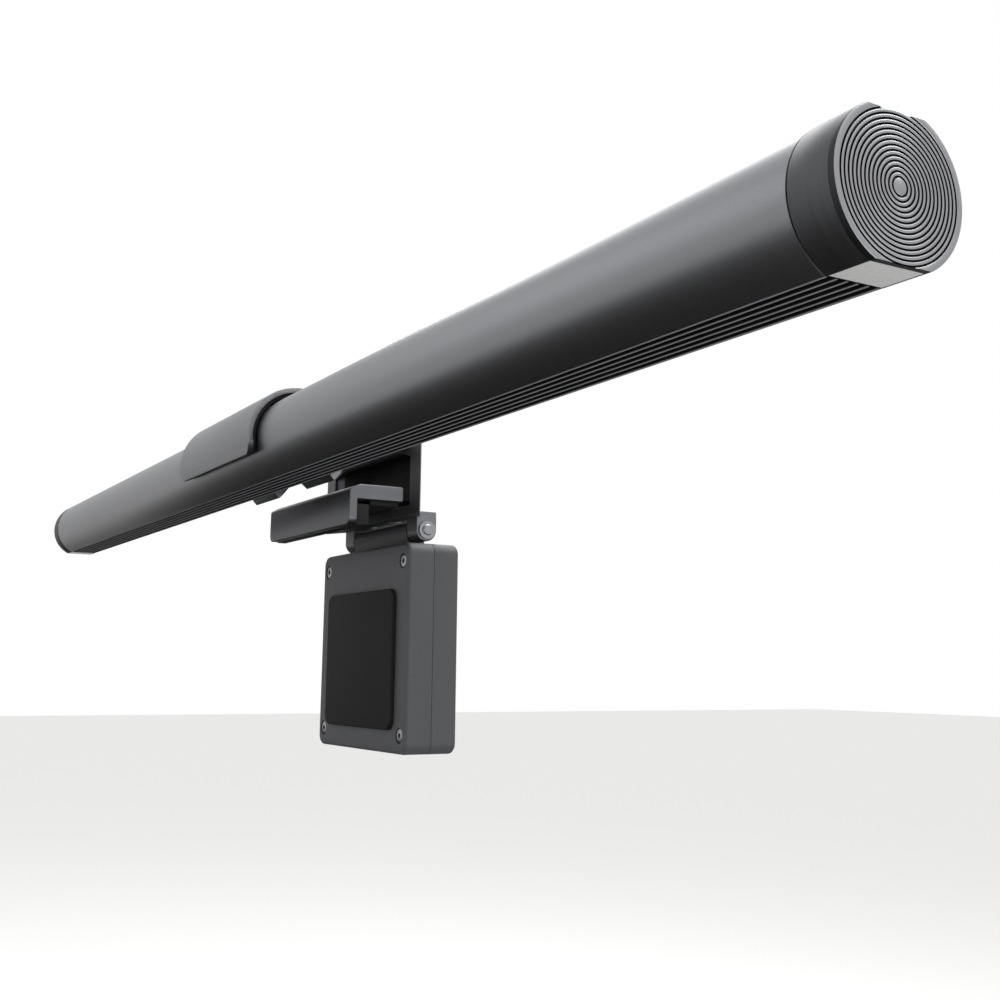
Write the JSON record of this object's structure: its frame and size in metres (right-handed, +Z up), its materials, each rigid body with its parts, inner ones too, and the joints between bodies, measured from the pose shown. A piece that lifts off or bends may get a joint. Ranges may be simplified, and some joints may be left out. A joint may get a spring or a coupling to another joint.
{
  "type": "monitor light bar",
  "caption": "Round monitor light bar held in an open saddle, on a hook that hangs over a screen's top edge, with a hinged weighted leg behind the screen.",
  "frame": {"origin": "middle of the underside of the hook's rest pad, which lies on the monitor's top edge", "axes": "+X along the bar, +Y to the rear of the monitor, +Z up"},
  "size_m": [0.45, 0.0605, 0.0924],
  "materials": {
    "tube_anodised": "space-grey anodised, satin",
    "louvre_black": "moulded black, matt",
    "lens_smoked": "smoked acrylic, satin",
    "reflector_white": "white moulded",
    "board_white": "white solder mask",
    "chip_warm": "amber phosphor",
    "chip_cool": "yellow phosphor",
    "board_green": "green solder mask",
    "parts_black": "moulded black",
    "socket_steel": "plated, bright",
    "pin_brass": "gold flashed",
    "cap_black": "moulded black, matt",
    "disc_turned": "turned rings, dark anodised",
    "plate_pale": "pale grey, finely speckled",
    "screw_steel": "zinc plated",
    "saddle_grey": "grey anodised, finely brushed",
    "liner_black": "silicone, matt",
    "neck_grey": "grey, satin",
    "pocket_black": "moulded black, matt",
    "hook_grey": "grey anodised, satin",
    "pad_black": "silicone, matt",
    "pin_steel": "ground",
    "leg_grey": "moulded dark grey, fine texture",
    "weight_steel": "zinc plated steel block"
  },
  "bodies": {
    "clamp": {"saddle_clip": "saddle_grey", "saddle_liner": "liner_black", "saddle_screws": "screw_steel", "neck_arm": "neck_grey", "neck_bezel": "neck_grey", "neck_shell": "neck_grey", "pocket_tub": "pocket_black", "neck_screws": "screw_steel", "hook": "hook_grey", "hook_front_pad": "pad_black", "hook_rest_pad": "pad_black", "hook_screws": "screw_steel", "hinge_pin": "pin_steel", "pin_rings": "pin_steel"},
    "lamp": {"tube": "tube_anodised", "louvre_strip": "louvre_black", "diffuser_lens": "lens_smoked", "reflector": "reflector_white", "led_board": "board_white", "led_chips_warm": "chip_warm", "led_chips_cool": "chip_cool", "driver_board": "board_green", "driver_parts": "parts_black", "radio_module": "screw_steel", "usb_socket": "socket_steel", "board_link_pins": "pin_brass", "end_cap_left": "cap_black", "end_cap_right": "cap_black", "end_disc_left": "disc_turned", "end_disc_right": "disc_turned", "cap_plate_left": "plate_pale", "cap_plate_right": "plate_pale", "cap_screws_left": "screw_steel", "cap_screws_right": "screw_steel"},
    "leg": {"leg_front_shell": "leg_grey", "leg_rear_shell": "leg_grey", "counterweight": "weight_steel", "leg_pad": "pad_black", "leg_screws": "screw_steel"}
  },
  "joints": [
    {"name": "bar_tilt", "type": "hinge", "parent": "clamp", "child": "lamp", "pos_m": [0, -0.025, 0.015], "axis": [1, 0, 0], "range_deg": [-12.5, 12.5]},
    {"name": "leg_swing", "type": "hinge", "parent": "clamp", "child": "leg", "pos_m": [0, 0.0145, -0.005], "axis": [1, 0, 0], "range_deg": [-10, 45]}
  ]
}
